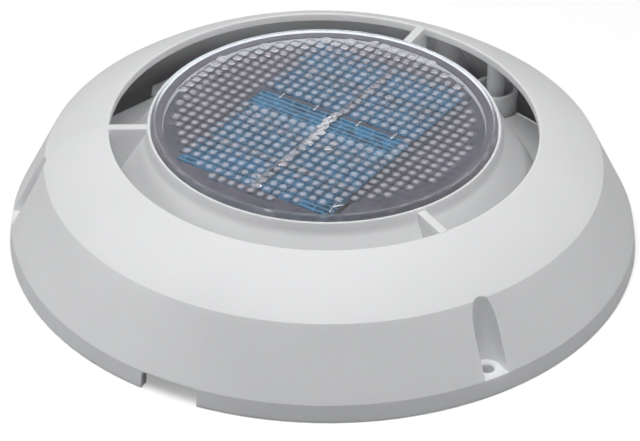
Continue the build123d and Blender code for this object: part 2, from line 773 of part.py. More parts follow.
save("screen_retainer", ring(SCREEN_RECESS_R - FIT_GAP, RETAINER_BORE_R, PLATE_Z, SCREEN_Z - PLATE_Z))
save("deck_seal", ring(SEAL_R, SEAL_BORE_R, 0, PLATE_Z))
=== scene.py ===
import bpy
import math
import numpy as np
from mathutils import Matrix, Vector


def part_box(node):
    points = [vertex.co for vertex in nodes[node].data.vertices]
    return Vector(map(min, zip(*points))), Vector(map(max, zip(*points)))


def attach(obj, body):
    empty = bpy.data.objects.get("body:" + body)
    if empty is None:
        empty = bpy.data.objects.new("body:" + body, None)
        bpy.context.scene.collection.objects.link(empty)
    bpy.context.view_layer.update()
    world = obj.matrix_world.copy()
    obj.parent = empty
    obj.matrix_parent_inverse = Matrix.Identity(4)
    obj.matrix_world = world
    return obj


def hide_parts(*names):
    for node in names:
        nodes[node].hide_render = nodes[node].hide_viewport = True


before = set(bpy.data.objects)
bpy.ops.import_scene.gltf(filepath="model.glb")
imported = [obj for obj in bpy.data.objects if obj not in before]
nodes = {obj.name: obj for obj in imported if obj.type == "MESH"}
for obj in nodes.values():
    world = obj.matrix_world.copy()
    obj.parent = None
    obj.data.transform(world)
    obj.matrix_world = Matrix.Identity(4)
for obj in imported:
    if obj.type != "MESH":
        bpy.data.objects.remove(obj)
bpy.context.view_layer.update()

MM = 0.001
BODY = "vent"

# Camera, from the circles of the cover in the photograph
PHOTO_W = 640
PHOTO_H = 441
SENSOR_MM = 36.0
FOCAL_PX = 3471.1
CENTRE_PX = (322.87, 230.72)
CAMERA_DISTANCE = 1.2024
CAMERA_HEIGHT_DEG = 34.897
CAMERA_TURN_DEG = -92.29
CAMERA_ROLL = 0.014

# Studio: a paper floor that looks white, throws back less light than it shows,
# and glows a little so that the shadow on it stays pale; and a weak even light
FLOOR_REACH = 6.0
FLOOR_LEVEL = -0.2 * MM
FLOOR_SHOWN = "#fbfbfb"
FLOOR_BOUNCE = "#8a8c90"
FLOOR_LIFT = 0.3
PAPER_ROUGH = 0.9
AMBIENT = 0.02
AMBIENT_COLOUR = "#f2f5fa"

# Lamps: name, direction, distance, size, and how bright each makes a white card
LAMPS = (
    ("top_lamp", (-0.02, -0.26, 1.0), 1.2, 1.0, 0.83),
    ("left_lamp", (-0.9, 0.0, 0.3), 1.3, 0.9, 0.24),
    ("right_lamp", (0.9, 0.0, 0.3), 1.3, 0.9, 0.14),
)

# Noises: where most of their values lie, how much smaller detail they hold,
# and how far a finish's roughness drifts with them
NOISE_LOW = 0.3
NOISE_HIGH = 0.7
SOFT_DETAIL = 2.0
CRISP_DETAIL = 3.0
PLASTIC_DRIFT = 0.04
METAL_DRIFT = 0.2

# Plastics and metals: how they bend light, how strongly their relief shows, how
# deep light scatters into the cover in mm, and its share of red, green and blue
PLASTIC_IOR = 1.5
ACRYLIC_IOR = 1.49
GRAIN_STRENGTH = 0.6
STREAK_STRENGTH = 0.5
COVER_DEPTH = 1.5
COVER_SCATTER = (1.0, 0.86, 0.92)

# Solar panel, as turned in the vent. Its gloss is low, because the panel
# mirrors little through the lens
PANEL_TURN = math.radians(55.0)
CELL_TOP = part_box("solar_cells")[1].z
CELL_W = 16.0 * MM
ROW_PITCH = 18.0 * MM
ROWS = 5
COLUMN_PITCH = 31.3 * MM
FINGER_PITCH = 2.2 * MM
FINGER_W = 0.42 * MM
FINGER_SWAY = 0.5 * MM
SWAY_L = 9 * MM
BRANCH_PITCH = 6.5 * MM
BRANCH_W = 0.4 * MM
BRANCH_SLIDE = 7 * MM
CELL_GRAIN = 3.2 * MM
CELL_ROUGH = 0.25
PRINT_ROUGH = 0.45
PANEL_GLOSS = 0.1

# Glass cloth of the board, drawn a little coarser than real threads, which
# would be lost between pixels
CLOTH_PITCH = 0.9 * MM
THREAD_W = 0.4 * MM
THREAD_SOFT = 0.8
THREAD_H = 0.02 * MM
WEAVE_STRENGTH = 0.4
CLOTH_CLOUD = 14 * MM
BOARD_ROUGH = 0.55

# Foam of the deck seal, and the net across the duct
PORE_PITCH = 0.5 * MM
PORE_DEPTH = 0.1 * MM
PORE_STRENGTH = 0.8
FOAM_ROUGH = 0.9
NET_CLOUD = 2 * MM
NET_ROUGH = 0.5
NET_SHEEN = 0.2

# Clear lens and the bumps moulded on its top
LENS_LOW, LENS_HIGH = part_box("solar_lens")
LENS_R = max(LENS_HIGH.x, LENS_HIGH.y)
LENS_TOP_R = LENS_R - 1.1 * MM
LENS_TOP = LENS_HIGH.z
LENS_LEAN_Z = LENS_TOP - 1.6 * MM
LENS_FOOT = LENS_LOW.z + 0.06 * MM
LENS_ROUND = 0.5 * MM
ROUND_STEPS = 4
SHARP_ANGLE = math.radians(50)
LENS_GRID = 285
BUMP_PITCH = 3.85 * MM
BUMP_H = 0.42 * MM
BUMP_FIELD_R = 51.6 * MM

# The lens's finish: where the painted highlight on a bump's crown starts and is full, its strongest
# share, the size of its patches and their dimmest share, where the painted shade in a valley starts,
# how frosted the moulded side is, how rough each face is, and a dark tint of its mirror image of the white
# studio
HIGHLIGHT_FROST_FOOT = 0.15
HIGHLIGHT_FROST_FULL = 1.0
HIGHLIGHT_FROST_SHARE = 0.5
HIGHLIGHT_FROST_SPECK = 1.1 * MM
HIGHLIGHT_FROST_PATCHY = 0.8
VALLEY_SHADE_EDGE = 0.72
WALL_HAZE = 0.36
TOP_ROUGH = 0.05
WALL_ROUGH = 0.4
HIGHLIGHT_FROST_ROUGH = 0.5
LENS_GLOSS = "#303030"

# The smooth window across the lens's middle
WINDOW_L = 61.0 * MM
WINDOW_W = 15.4 * MM

# A black strip over the cells' ends, as painted shade for the dark gap there, and the bare wires beside it,
# whose ends are given in mm, up the rows and then along the cells. The strip's edge sways as a
# sine wave, whose whole run is given in radians
BOARD_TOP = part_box("solar_board")[1].z
SHADE_STRIP_ALONG = -31.4 * MM
SHADE_STRIP_W = 1.1 * MM
SHADE_STRIP_T = 0.25 * MM
SHADE_STRIP_SWAY = 0.12 * MM
SHADE_STRIP_WAVES = 21.0
SHADE_STRIP_POINTS = (90, 9)
WIRE_R = 0.3 * MM
WIRE_ARCH = 0.2 * MM
WIRE_STEPS = 13
WIRE_SIDES = 8
WIRE_FORK = (-39.0, -29.0)
WIRE_ENDS = ((-34.5, -28.3), (-36.0, -31.3), (-42.2, -29.6))

# Tinned strip down the middle of the panel: its share of the width at each
# place along it in mm, the waves of its wander (size, length, start), and the
# waves of its folds (share, length, slant, start)
RIBBON_L = 89.0 * MM
RIBBON_W = 3.2 * MM
RIBBON_T = 0.12 * MM
RIBBON_POINTS = (90, 6)
RIBBON_PLACES = (-44, -39, -34, -31, -27, -21, -17, -12, 0, 9, 12, 17, 21, 27, 33, 44)
RIBBON_SHARES = (0.8, 1.1, 0.7, 0.25, 0.7, 0.9, 0.25, 0.8, 1.0, 0.9, 0.3, 0.5, 0.25, 0.4, 0.2, 0.3)
RIBBON_LIFT = 0.1 * MM
RIBBON_RAG = 0.3
RAG_L = 0.8 * MM
RAG_SLANT = 9
WANDER_WAVES = ((0.35 * MM, 7.3 * MM, 0), (0.25 * MM, 2.9 * MM, 1))
FOLD_WAVES = ((1.0, 1.9 * MM, 4.1, 0), (0.8, 3.1 * MM, -6.4, 0.7))
FOLD_H = 0.4 * MM

# Short straps from each cell to the next
STRAP_L = 5 * MM
STRAP_W = 0.7 * MM
STRAP_OFF = 7 * MM
STRAP_LIFT = 0.05 * MM
STRAP_RISE = 0.12 * MM
STRAP_POINTS = (9, 3)


def linear(hex_colour):
    """The linear colour of an sRGB hex value."""
    parts = [int(hex_colour[i : i + 2], 16) / 255 for i in (1, 3, 5)]
    return [p / 12.92 if p <= 0.04045 else ((p + 0.055) / 1.055) ** 2.4 for p in parts] + [1.0]


def add(tree, kind, inputs=None, **settings):
    """Adds a shader node with its settings, and with its inputs set or linked."""
    node = tree.nodes.new("ShaderNode" + kind)
    for key, value in settings.items():
        setattr(node, key, value)
    for key, value in (inputs or {}).items():
        if isinstance(value, bpy.types.NodeSocket):
            tree.links.new(value, node.inputs[key])
        else:
            node.inputs[key].default_value = value
    return node


def new_material(name):
    """A material's empty node tree, with object coordinates."""
    made = bpy.data.materials.new(name)
    made.use_nodes = True
    tree = made.node_tree
    tree.nodes.clear()
    place = add(tree, "TexCoord").outputs["Object"]
    return made, tree, place


def finish_material(made, tree, shader):
    """Links the shader to the surface and gives back the material."""
    add(tree, "OutputMaterial", {"Surface": shader})
    return made


def moulded(
    name, dark_hex, pale_hex, roughness, grain_mm=0.35, relief_mm=0.01, cloud_mm=45.0, depth_mm=0.0
):
    """Moulded plastic: a slow drift of tone, and the fine grain of the tool's face.

    A real tool's grain is finer than a pixel, so it is drawn coarser here. A
    thin pale wall also lets light scatter into it, as deep as depth_mm.
    """
    made, tree, place = new_material(name)
    cloud = add(tree, "TexNoise", {"Vector": place, "Scale": 1 / (cloud_mm * MM), "Detail": SOFT_DETAIL})
    share = add(tree, "MapRange", {"Value": cloud.outputs[0], "From Min": NOISE_LOW, "From Max": NOISE_HIGH})
    tone = add(
        tree, "Mix", {0: share.outputs[0], 6: linear(dark_hex), 7: linear(pale_hex)}, data_type="RGBA"
    )
    grain = add(tree, "TexNoise", {"Vector": place, "Scale": 1 / (grain_mm * MM), "Detail": CRISP_DETAIL})
    bump = add(
        tree,
        "Bump",
        {"Height": grain.outputs[0], "Distance": relief_mm * MM, "Strength": GRAIN_STRENGTH},
    )
    rough = add(
        tree,
        "MapRange",
        {
            "Value": share.outputs[0],
            "To Min": roughness - PLASTIC_DRIFT,
            "To Max": roughness + PLASTIC_DRIFT,
        },
    )
    shader = add(
        tree,
        "BsdfPrincipled",
        {
            "Base Color": tone.outputs[2],
            "Roughness": rough.outputs[0],
            "Normal": bump.outputs[0],
            "IOR": PLASTIC_IOR,
        },
    )
    if depth_mm:
        shader.inputs["Subsurface Weight"].default_value = 1.0
        shader.inputs["Subsurface Radius"].default_value = COVER_SCATTER
        shader.inputs["Subsurface Scale"].default_value = depth_mm * MM
    return finish_material(made, tree, shader.outputs[0])


def metal(name, dark_hex, pale_hex, roughness, streak_mm=(0.2, 0.2, 6.0), relief_mm=0.004):
    """Worked metal: fine streaks along the way it was drawn, turned or ground.

    A streak's size is given along X, Y and Z. The finest are drawn coarser
    than real tool marks, which would be lost between pixels.
    """
    made, tree, place = new_material(name)
    stretch = add(tree, "Mapping", {"Vector": place, "Scale": [1 / (s * MM) for s in streak_mm]})
    streak = add(tree, "TexNoise", {"Vector": stretch.outputs[0], "Scale": 1.0, "Detail": SOFT_DETAIL})
    share = add(tree, "MapRange", {"Value": streak.outputs[0], "From Min": NOISE_LOW, "From Max": NOISE_HIGH})
    tone = add(
        tree, "Mix", {0: share.outputs[0], 6: linear(dark_hex), 7: linear(pale_hex)}, data_type="RGBA"
    )
    rough = add(
        tree,
        "MapRange",
        {
            "Value": share.outputs[0],
            "To Min": roughness * (1 - METAL_DRIFT),
            "To Max": roughness * (1 + METAL_DRIFT),
        },
    )
    bump = add(
        tree,
        "Bump",
        {"Height": streak.outputs[0], "Distance": relief_mm * MM, "Strength": STREAK_STRENGTH},
    )
    shader = add(
        tree,
        "BsdfPrincipled",
        {
            "Base Color": tone.outputs[2],
            "Roughness": rough.outputs[0],
            "Normal": bump.outputs[0],
            "Metallic": 1.0,
        },
    )
    return finish_material(made, tree, shader.outputs[0])


def clear_acrylic():
    """Clear moulded acrylic: sharp, dimmed reflections, a painted highlight on each bump's crown, and painted
    shade in its valleys.

    A pale diffuse layer on each crown is the painted highlight: it scatters white light back, so the bumps
    show as pale beads over the dark panel, and the same layer frosts the moulded side. A darker tint in the
    valleys between the bumps is painted shade, which dims what lies below.
    """
    made, tree, place = new_material("clear_moulded_acrylic")
    # Painted shade: the bumps' valleys tint what shows through the lens darker
    valley_shade = add(tree, "Attribute", attribute_name="valley_shade")
    valley_shade_share = add(
        tree,
        "MapRange",
        {"Value": valley_shade.outputs["Fac"], "From Min": VALLEY_SHADE_EDGE},
        interpolation_type="SMOOTHSTEP",
    )
    valley_shade_tint = add(
        tree, "Mix", {0: valley_shade_share.outputs[0], 6: linear("#f6f6f8"), 7: linear("#8b8b96")}, data_type="RGBA"
    )
    wall = add(tree, "Attribute", attribute_name="wall")
    matt = add(tree, "MapRange", {"Value": wall.outputs["Fac"], "To Min": TOP_ROUGH, "To Max": WALL_ROUGH})
    clear = add(
        tree,
        "BsdfPrincipled",
        {
            "Base Color": valley_shade_tint.outputs[2],
            "Roughness": matt.outputs[0],
            "IOR": ACRYLIC_IOR,
            "Specular Tint": linear(LENS_GLOSS),
            "Transmission Weight": 1.0,
        },
    )
    # Painted highlight: a pale layer on each bump's crown, in patches; on the moulded side the same layer is
    # a frosting
    bead_highlight_and_wall_frost = add(tree, "Attribute", attribute_name="bead_highlight_and_wall_frost")
    speck = add(tree, "TexNoise", {"Vector": place, "Scale": 1 / HIGHLIGHT_FROST_SPECK, "Detail": SOFT_DETAIL})
    patchy = add(
        tree,
        "MapRange",
        {
            "Value": speck.outputs[0],
            "From Min": NOISE_LOW,
            "From Max": NOISE_HIGH,
            "To Min": HIGHLIGHT_FROST_PATCHY,
        },
    )
    highlight_frost_ramp = add(
        tree,
        "MapRange",
        {
            "Value": bead_highlight_and_wall_frost.outputs["Fac"],
            "From Min": HIGHLIGHT_FROST_FOOT,
            "From Max": HIGHLIGHT_FROST_FULL,
            "To Max": HIGHLIGHT_FROST_SHARE,
        },
        interpolation_type="SMOOTHSTEP",
    )
    share = add(tree, "Math", {0: highlight_frost_ramp.outputs[0], 1: patchy.outputs[0]}, operation="MULTIPLY")
    highlight_frost = add(
        tree,
        "BsdfPrincipled",
        {"Base Color": linear("#e6e4ee"), "Roughness": HIGHLIGHT_FROST_ROUGH, "IOR": ACRYLIC_IOR},
    )
    clear_and_highlight = add(tree, "MixShader", {0: share.outputs[0], 1: clear.outputs[0], 2: highlight_frost.outputs[0]})
    passing = add(tree, "BsdfTransparent", {"Color": linear("#e4e6ea")})
    ray = add(tree, "LightPath")
    both = add(
        tree, "MixShader", {0: ray.outputs["Is Shadow Ray"], 1: clear_and_highlight.outputs[0], 2: passing.outputs[0]}
    )
    return finish_material(made, tree, both.outputs[0])


def line_share(tree, value, pitch, width, soft=0.3):
    """One on evenly spaced lines of a width, and nought between them.

    Soft is the share of a line's half width over which its edge fades, each way.
    """
    turns = add(tree, "Math", {0: value, 1: pitch}, operation="DIVIDE")
    part = add(tree, "Math", {0: turns.outputs[0]}, operation="FRACT")
    centred = add(tree, "Math", {0: part.outputs[0], 1: 0.5}, operation="SUBTRACT")
    off = add(tree, "Math", {0: centred.outputs[0]}, operation="ABSOLUTE")
    half = width / pitch / 2
    line = add(
        tree,
        "MapRange",
        {
            "Value": off.outputs[0],
            "From Min": half * (1 - soft),
            "From Max": half * (1 + soft),
            "To Min": 1.0,
            "To Max": 0.0,
        },
    )
    return line.outputs[0]


def silicon_cells():
    """Polycrystalline silicon: blue grains, and printed silver fingers along each cell.

    The fingers sway a little, and short branches join them at uneven places,
    so the print looks like a fine net. X runs up the rows, Y along the cells.
    """
    made, tree, place = new_material("printed_polycrystalline_silicon")
    turned = add(tree, "Mapping", {"Vector": place, "Rotation": (0, 0, -PANEL_TURN)}).outputs[0]
    grains = add(tree, "TexVoronoi", {"Vector": turned, "Scale": 1 / CELL_GRAIN})
    tone = add(tree, "SeparateColor", {"Color": grains.outputs["Color"]})
    blue = add(
        tree, "Mix", {0: tone.outputs[0], 6: linear("#05293d"), 7: linear("#195a7b")}, data_type="RGBA"
    )
    parts = add(tree, "SeparateXYZ", {"Vector": turned})
    wobble = add(tree, "TexNoise", {"Vector": turned, "Scale": 1 / SWAY_L})
    shift = add(tree, "Math", {0: wobble.outputs[0], 1: FINGER_SWAY}, operation="MULTIPLY")
    along = add(tree, "Math", {0: parts.outputs[0], 1: shift.outputs[0]}, operation="ADD")
    fingers = line_share(tree, along.outputs[0], FINGER_PITCH, FINGER_W)
    row = add(tree, "Math", {0: along.outputs[0], 1: FINGER_PITCH}, operation="DIVIDE")
    row_number = add(tree, "Math", {0: row.outputs[0]}, operation="FLOOR")
    chance = add(tree, "TexWhiteNoise", {"W": row_number.outputs[0]}, noise_dimensions="1D")
    slide = add(tree, "Math", {0: chance.outputs[0], 1: BRANCH_SLIDE}, operation="MULTIPLY")
    across = add(tree, "Math", {0: parts.outputs[1], 1: slide.outputs[0]}, operation="ADD")
    branches = line_share(tree, across.outputs[0], BRANCH_PITCH, BRANCH_W)
    print_share = add(tree, "Math", {0: fingers, 1: branches}, operation="MAXIMUM")
    colour = add(
        tree,
        "Mix",
        {0: print_share.outputs[0], 6: blue.outputs[2], 7: linear("#5c8096")},
        data_type="RGBA",
    )
    rough = add(
        tree,
        "MapRange",
        {"Value": print_share.outputs[0], "To Min": CELL_ROUGH, "To Max": PRINT_ROUGH},
    )
    shader = add(
        tree,
        "BsdfPrincipled",
        {
            "Base Color": colour.outputs[2],
            "Roughness": rough.outputs[0],
            "Specular IOR Level": PANEL_GLOSS,
        },
    )
    return finish_material(made, tree, shader.outputs[0])


def panel_board():
    """Dark laminate under the cells, with the weave of its glass cloth."""
    made, tree, place = new_material("dark_glass_cloth_laminate")
    turned = add(tree, "Mapping", {"Vector": place, "Rotation": (0, 0, -PANEL_TURN)}).outputs[0]
    cloud = add(tree, "TexNoise", {"Vector": turned, "Scale": 1 / CLOTH_CLOUD, "Detail": CRISP_DETAIL})
    share = add(tree, "MapRange", {"Value": cloud.outputs[0], "From Min": NOISE_LOW, "From Max": NOISE_HIGH})
    tone = add(
        tree, "Mix", {0: share.outputs[0], 6: linear("#424249"), 7: linear("#525159")}, data_type="RGBA"
    )
    parts = add(tree, "SeparateXYZ", {"Vector": turned})
    warp = line_share(tree, parts.outputs[0], CLOTH_PITCH, THREAD_W, THREAD_SOFT)
    weft = line_share(tree, parts.outputs[1], CLOTH_PITCH, THREAD_W, THREAD_SOFT)
    weave = add(tree, "Math", {0: warp, 1: weft}, operation="MAXIMUM")
    bump = add(
        tree, "Bump", {"Height": weave.outputs[0], "Distance": THREAD_H, "Strength": WEAVE_STRENGTH}
    )
    shader = add(
        tree,
        "BsdfPrincipled",
        {
            "Base Color": tone.outputs[2],
            "Roughness": BOARD_ROUGH,
            "Normal": bump.outputs[0],
            "Specular IOR Level": PANEL_GLOSS,
        },
    )
    return finish_material(made, tree, shader.outputs[0])


def foam_rubber():
    """Closed-cell foam: small open pores on a soft black skin."""
    made, tree, place = new_material("closed_cell_foam")
    pores = add(tree, "TexVoronoi", {"Vector": place, "Scale": 1 / PORE_PITCH})
    tone = add(
        tree,
        "Mix",
        {0: pores.outputs["Distance"], 6: linear("#121213"), 7: linear("#323234")},
        data_type="RGBA",
    )
    bump = add(
        tree,
        "Bump",
        {"Height": pores.outputs["Distance"], "Distance": PORE_DEPTH, "Strength": PORE_STRENGTH},
    )
    shader = add(
        tree,
        "BsdfPrincipled",
        {"Base Color": tone.outputs[2], "Roughness": FOAM_ROUGH, "Normal": bump.outputs[0]},
    )
    return finish_material(made, tree, shader.outputs[0])


def netting():
    """Moulded nylon net: a slight sheen on its strands."""
    made, tree, place = new_material("moulded_nylon_net")
    cloud = add(tree, "TexNoise", {"Vector": place, "Scale": 1 / NET_CLOUD})
    tone = add(
        tree, "Mix", {0: cloud.outputs[0], 6: linear("#1c1c1f"), 7: linear("#2c2c30")}, data_type="RGBA"
    )
    shader = add(
        tree,
        "BsdfPrincipled",
        {"Base Color": tone.outputs[2], "Roughness": NET_ROUGH, "Sheen Weight": NET_SHEEN},
    )
    return finish_material(made, tree, shader.outputs[0])


# Calm satin white, soft at its thin edges: most of what the eye sees
COVER = moulded(
    "satin_moulded_asa", "#eeeff0", "#f4f5f6", 0.5, grain_mm=0.5, relief_mm=0.006, depth_mm=COVER_DEPTH
)
# The cover's white with a little more gloss, seen in the shade of the air gap
BASE = moulded("white_abs", "#ecedee", "#f2f3f4", 0.45, depth_mm=COVER_DEPTH)
# Clear, with rows of pale beads of painted highlight, painted shade between them, and bright glints at the
# rim
LENS = clear_acrylic()
# A thin black line along the cells' ends with a soft gleam: painted shade for the gap there
DARK_GAP_SHADE = moulded("black_painted_shade_strip", "#0c0c0e", "#151518", 0.35, grain_mm=0.8, relief_mm=0.02)
# Bright silver that breaks up into small glints where it is crumpled
TINNED = metal("tinned_copper_strip", "#c4c5c9", "#eceef0", 0.2, streak_mm=(0.6, 0.6, 0.6), relief_mm=0.02)
# Deep black with a low gleam on its edges
NYLON = moulded("black_glass_filled_nylon", "#141415", "#1c1c1e", 0.4)
# Plain middle grey, a little waxy
ACETAL = moulded("grey_acetal", "#77797d", "#808287", 0.38)
# Soft silver with fine streaks
STAINLESS = metal("stainless_steel_screw", "#a9a9aa", "#c7c7c9", 0.25)

FINISHES = {
    "vent_cover": COVER,
    "solar_lens": LENS,
    # Dull dark grey: a quiet ring inside the lens's edge
    "lens_gasket": moulded("grey_nitrile_rubber", "#44424a", "#535159", 0.7),
    # Dark bluish grey, with a faint weave in the light
    "solar_board": panel_board(),
    # Deep blue in uneven grains under a net of pale lines
    "solar_cells": silicon_cells(),
    "cell_ribbons": TINNED,
    # Satin dark red, which tells the two leads apart
    "red_lead": moulded("red_pvc_sleeve", "#8f1410", "#a01c16", 0.4),
    # Satin black beside it
    "black_lead": moulded("black_pvc_sleeve", "#0e0e0f", "#171718", 0.4),
    # Cool grey with a streaked shine down its side
    "motor_can": metal("zinc_plated_drawn_steel", "#a3a5a3", "#c2c4c1", 0.3, streak_mm=(0.3, 0.3, 5.0)),
    "motor_end_cap": NYLON,
    # Warm yellow with clean bright edges
    "motor_terminals": metal("stamped_brass", "#a9843a", "#c7a258", 0.3),
    # A browner yellow, as springs have
    "motor_brushes": metal("spring_brass", "#a17c36", "#bf9a52", 0.28),
    # Charcoal with a gritty face and no shine
    "motor_magnets": moulded("pressed_ferrite", "#222223", "#2d2d2e", 0.6, grain_mm=0.2, relief_mm=0.03),
    # Brown gold, dull and evenly speckled
    "lower_bearing": metal("sintered_bronze", "#8a6334", "#a57c48", 0.45, streak_mm=(0.3, 0.3, 0.3)),
    "motor_retainer": ACETAL,
    "retainer_screws": STAINLESS,
    # Bright steel with fine rings round it
    "motor_shaft": metal("ground_steel_rod", "#b4b4b6", "#d2d2d4", 0.18, streak_mm=(2.0, 2.0, 0.1)),
    # Grey in thin layers, one over another
    "armature_core": metal("stacked_silicon_steel", "#5e5d5c", "#8b8987", 0.4, streak_mm=(4.0, 4.0, 0.35)),
    # Dark orange with a varnished gleam
    "armature_coils": metal("enamelled_copper_wire", "#8c3f1c", "#b96336", 0.3, streak_mm=(3.0, 3.0, 0.3)),
    # Reddish copper, worn smooth
    "commutator": metal("copper_segment", "#a4613b", "#c98057", 0.25),
    "fan_impeller": NYLON,
    "push_nut": STAINLESS,
    "base_plate": BASE,
    "rain_baffle": BASE,
    "baffle_screws": STAINLESS,
    "base_screws": STAINLESS,
    # Black strands with a slight sheen
    "insect_screen": netting(),
    "screen_retainer": ACETAL,
    # Soft black with tiny open pores
    "deck_seal": foam_rubber(),
}
FINISHES["upper_bearing"] = FINISHES["lower_bearing"]


def dress(node, finish):
    """Gives a CAD node its finish in place of its plain one."""
    node.data.materials.clear()
    node.data.materials.append(finish)


def make_piece(name, points, faces, finish, slot, *stands_for, smooth=True):
    """A finished mesh piece on the vent's body, with its place in its points."""
    mesh = bpy.data.meshes.new(name)
    mesh.from_pydata(points.tolist(), [], faces)
    mesh.update()
    mesh.polygons.foreach_set("use_smooth", [smooth] * len(mesh.polygons))
    mesh.materials.append(finish)
    piece = bpy.data.objects.new(name, mesh)
    bpy.context.scene.collection.objects.link(piece)
    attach(piece, BODY)
    if stands_for:
        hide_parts(*stands_for)
    return piece


def thicken(piece, thickness, side):
    """Gives a sheet its wall: outward where side is 1, and inward where it is -1."""
    wall = piece.modifiers.new("thickness", "SOLIDIFY")
    wall.thickness = thickness
    wall.offset = side
    return piece


def disc_grid(radius, count):
    """A square grid pressed into a disc, with cells of equal area.

    The longer side gives the radius, and the ratio of the sides the angle
    within a quarter turn.
    """
    side = np.linspace(-1, 1, count)
    u, v = np.meshgrid(side, side, indexing="ij")
    wide = np.abs(u) > np.abs(v)
    u_safe = np.where(u == 0, 1, u)
    v_safe = np.where(v == 0, 1, v)
    turn = np.where(wide, np.pi / 4 * v / u_safe, np.pi / 2 - np.pi / 4 * u / v_safe)
    reach = radius * np.where(wide, u, v)
    return reach * np.cos(turn), reach * np.sin(turn)


def bump_height(x, y):
    """Height of the bumps at each point of the lens, and where the bumps are.

    The bumps stand on a square lattice in line with the panel. Each is the
    product of two half waves, one along each side of its square. There is
    none with its centre outside the field or inside the window.
    """
    c = math.cos(PANEL_TURN)
    s = math.sin(PANEL_TURN)
    a = (x * c + y * s) / BUMP_PITCH
    b = (y * c - x * s) / BUMP_PITCH
    a_mid = np.round(a)
    b_mid = np.round(b)
    height = BUMP_H * np.cos(np.pi * (a - a_mid)) * np.cos(np.pi * (b - b_mid))
    a_place = a_mid * BUMP_PITCH
    b_place = b_mid * BUMP_PITCH
    in_field = np.hypot(a_place, b_place) < BUMP_FIELD_R
    in_window = (np.abs(a_place) < WINDOW_W / 2) & (np.abs(b_place) < WINDOW_L / 2)
    bumped = in_field & ~in_window
    return np.where(bumped, height, 0), bumped


def grid_quads(rows, columns, start=0):
    """Corner numbers of a grid's faces, facing up where rows run along X."""
    number = np.arange(rows * columns).reshape(rows, columns) + start
    corners = [number[:-1, :-1], number[1:, :-1], number[1:, 1:], number[:-1, 1:]]
    return np.stack(corners, -1).reshape(-1, 4)


def rounded_line(corners, rounding, steps):
    """Points down a line of corners, each inner corner cut by a parabola.

    The parabola runs from a point before the corner to a point after it, and
    the corner is where its two end directions meet.
    """
    points = [corners[0]]
    t = np.linspace(0, 1, steps + 1)[:, None]
    for before, corner, after in zip(corners[:-2], corners[1:-1], corners[2:]):
        start = corner + rounding * (before - corner) / np.linalg.norm(before - corner)
        end = corner + rounding * (after - corner) / np.linalg.norm(after - corner)
        points.extend((1 - t) ** 2 * start + 2 * t * (1 - t) * corner + t**2 * end)
    return np.array([*points, corners[-1]])


def bumped_lens():
    """The lens: a bumped top, a leaning shoulder, an upright wall and a flat foot.

    The top is the pressed grid. Rings then follow the rounded line of the
    lens's side, out and down to the foot, which closes on a point.
    """
    n = LENS_GRID
    corners = np.array(
        [
            (LENS_TOP_R - 2 * LENS_ROUND, LENS_TOP),
            (LENS_TOP_R, LENS_TOP),
            (LENS_R, LENS_LEAN_Z),
            (LENS_R, LENS_FOOT),
            (LENS_R - 2 * LENS_ROUND, LENS_FOOT),
        ]
    )
    side = rounded_line(corners, LENS_ROUND, ROUND_STEPS)
    x, y = disc_grid(side[0, 0], n)
    rise, bumped = bump_height(x, y)
    top = np.stack([x, y, LENS_TOP + rise], -1).reshape(-1, 3)
    number = np.arange(n * n).reshape(n, n)
    edge = np.concatenate([number[:-1, 0], number[-1, :-1], number[:0:-1, -1], number[0, :0:-1]])
    direction = top[edge, :2] / np.linalg.norm(top[edge, :2], axis=1)[:, None]
    rings = [np.column_stack([direction * r, np.full(len(edge), z)]) for r, z in side[1:]]
    points = np.vstack([top, *rings, [[0, 0, LENS_FOOT]]])
    loops = [edge] + [n * n + len(edge) * k + np.arange(len(edge)) for k in range(len(rings))]
    walls = [
        np.stack([upper, lower, np.roll(lower, -1), np.roll(upper, -1)], -1)
        for upper, lower in zip(loops[:-1], loops[1:])
    ]
    centre = np.full(len(edge), len(points) - 1)
    foot = np.stack([loops[-1], centre, np.roll(loops[-1], -1)], -1)
    faces = np.vstack([grid_quads(n, n), *walls]).tolist() + foot.tolist()
    lens = make_piece("bumped_lens", points, faces, LENS, "clear_lens", "solar_lens")
    share = rise.ravel() / BUMP_H
    wall = np.append(np.ones(len(edge) * (len(rings) - 1)), np.zeros(len(edge) + 1))
    # Marks for the finish: the painted highlight on the crowns with the side's frosting, the painted shade in
    # the valleys, and the side
    marks = {
        "bead_highlight_and_wall_frost": np.append(share, WALL_HAZE * wall),
        "valley_shade": np.append(np.where(bumped.ravel(), 1 - share, 0), 0 * wall),
        "wall": np.append(0 * share, wall),
    }
    for name, values in marks.items():
        lens.data.attributes.new(name, "FLOAT", "POINT").data.foreach_set("value", values)
    lens.data.set_sharp_from_angle(angle=SHARP_ANGLE)
    return lens


def panel_point(up, along, level):
    """Points of the panel: up the rows, along the cells, and a height."""
    c = math.cos(PANEL_TURN)
    s = math.sin(PANEL_TURN)
    return np.stack([up * c - along * s, up * s + along * c, level], -1)


def crumpled_strip():
    """The tinned strip down the panel's middle, crumpled where it was pressed on.

    Its width follows a line through given places. Its height is a sum of waves
    whose lengths share no common measure, folded by taking their size without
    sign, so that it breaks into small flat facets.
    """
    rows, columns = RIBBON_POINTS
    s, t = np.meshgrid(np.linspace(-0.5, 0.5, rows), np.linspace(-0.5, 0.5, columns), indexing="ij")
    up = s * RIBBON_L
    wander = sum(size * np.sin(up / length + start) for size, length, start in WANDER_WAVES)
    width = RIBBON_W * np.interp(up / MM, RIBBON_PLACES, RIBBON_SHARES)
    ragged = 1 + RIBBON_RAG * np.sin(up / RAG_L + RAG_SLANT * t)
    along = t * width * ragged + wander
    fold = sum(
        share * np.abs(np.sin(up / length + slant * t + start)) for share, length, slant, start in FOLD_WAVES
    )
    level = CELL_TOP + RIBBON_LIFT + FOLD_H * fold
    points = panel_point(up, along, level).reshape(-1, 3)
    faces = grid_quads(rows, columns).tolist()
    strip = make_piece(
        "crumpled_strip", points, faces, TINNED, "tinned_ribbon", "cell_ribbons", smooth=False
    )
    return thicken(strip, RIBBON_T, 1.0)


